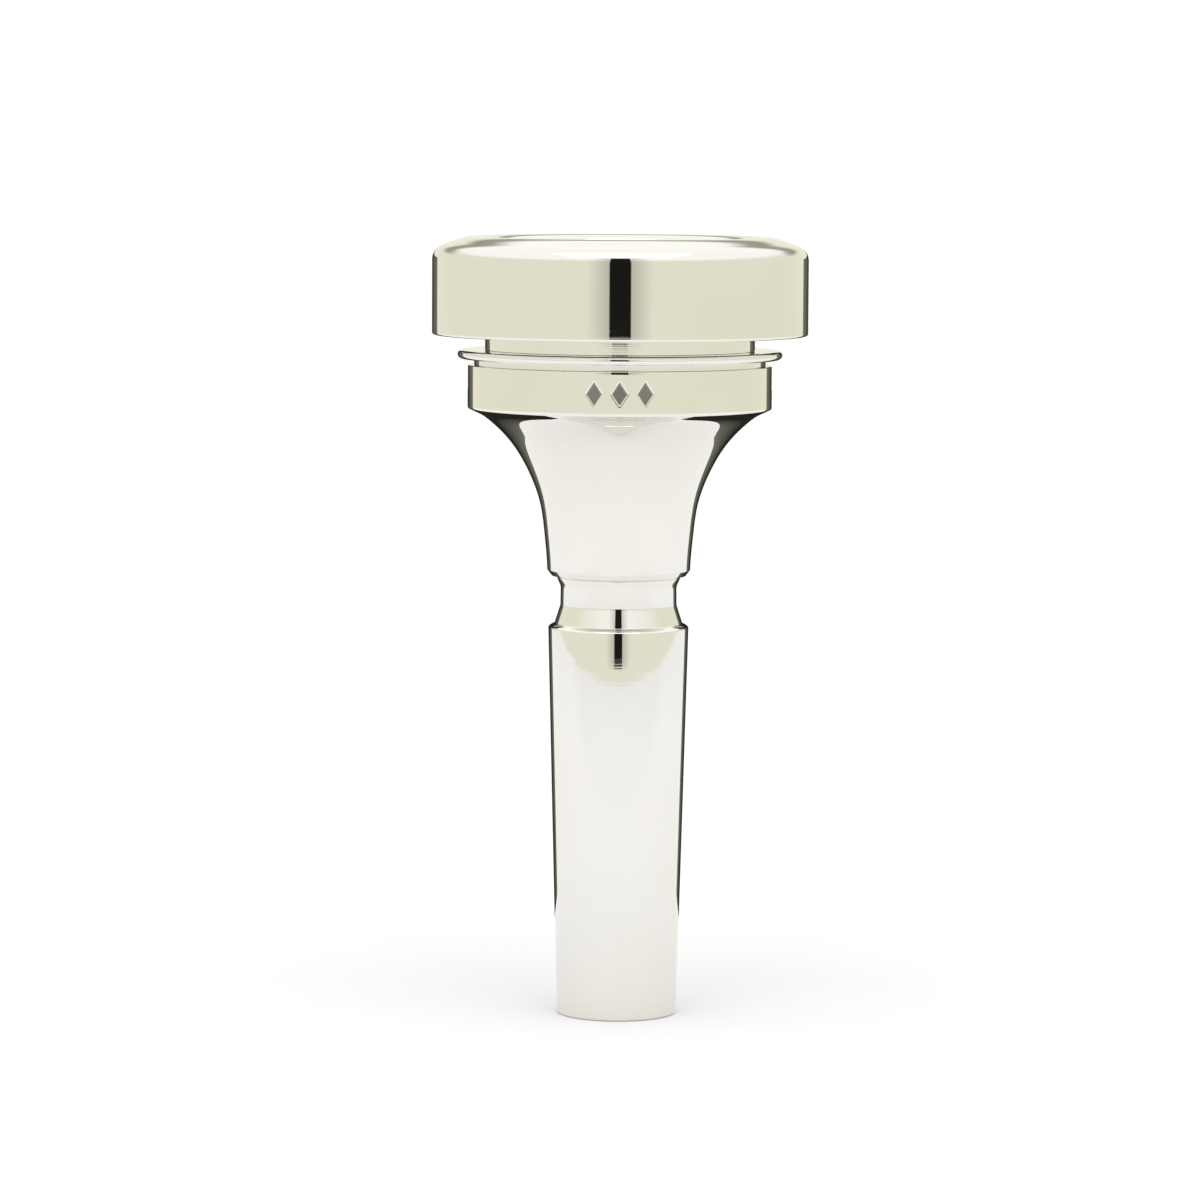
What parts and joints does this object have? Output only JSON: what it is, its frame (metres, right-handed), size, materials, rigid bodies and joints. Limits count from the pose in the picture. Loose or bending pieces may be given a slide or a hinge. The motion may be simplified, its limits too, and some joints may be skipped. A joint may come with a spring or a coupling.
{
  "type": "trombone mouthpiece",
  "caption": "Screw-together brass mouthpiece with a rounded rim, a deep cup, a narrow throat and a tapered shank, plated bright.",
  "frame": {"origin": "centre of the shank's end face, where the air leaves", "axes": "+Z along the bore, from the shank up to the rim; -Y towards the side that carries the engraved mark"},
  "size_m": [0.039, 0.039, 0.081],
  "materials": {
    "rim_plate": "polished",
    "cup_plate": "polished",
    "shank_plate": "polished",
    "seal_rubber": "matte"
  },
  "bodies": {
    "shank": {"shank": "shank_plate"},
    "shank_ring": {"shank_seal": "seal_rubber"},
    "cup": {"cup": "cup_plate"},
    "rim_ring": {"rim_seal": "seal_rubber"},
    "rim": {"rim": "rim_plate"}
  },
  "joints": [
    {"name": "cup_turn", "type": "hinge", "parent": "shank", "child": "shank_ring", "pos_m": [0, 0, 0.04585], "axis": [0, 0, 1], "range_deg": [0, 1440]},
    {"name": "cup_rise", "type": "slide", "parent": "shank_ring", "child": "cup", "axis": [0, 0, 1], "range_m": [0, 0.003]},
    {"name": "rim_turn", "type": "hinge", "parent": "cup", "child": "rim_ring", "pos_m": [0, 0, 0.07085], "axis": [0, 0, 1], "range_deg": [0, 1080]},
    {"name": "rim_rise", "type": "slide", "parent": "rim_ring", "child": "rim", "axis": [0, 0, 1], "range_m": [0, 0.003]}
  ],
  "couplings": [
    {"joint": "cup_rise", "follows": "cup_turn", "m_per_rad": 0.00011937},
    {"joint": "rim_rise", "follows": "rim_turn", "m_per_rad": 0.00015915}
  ]
}
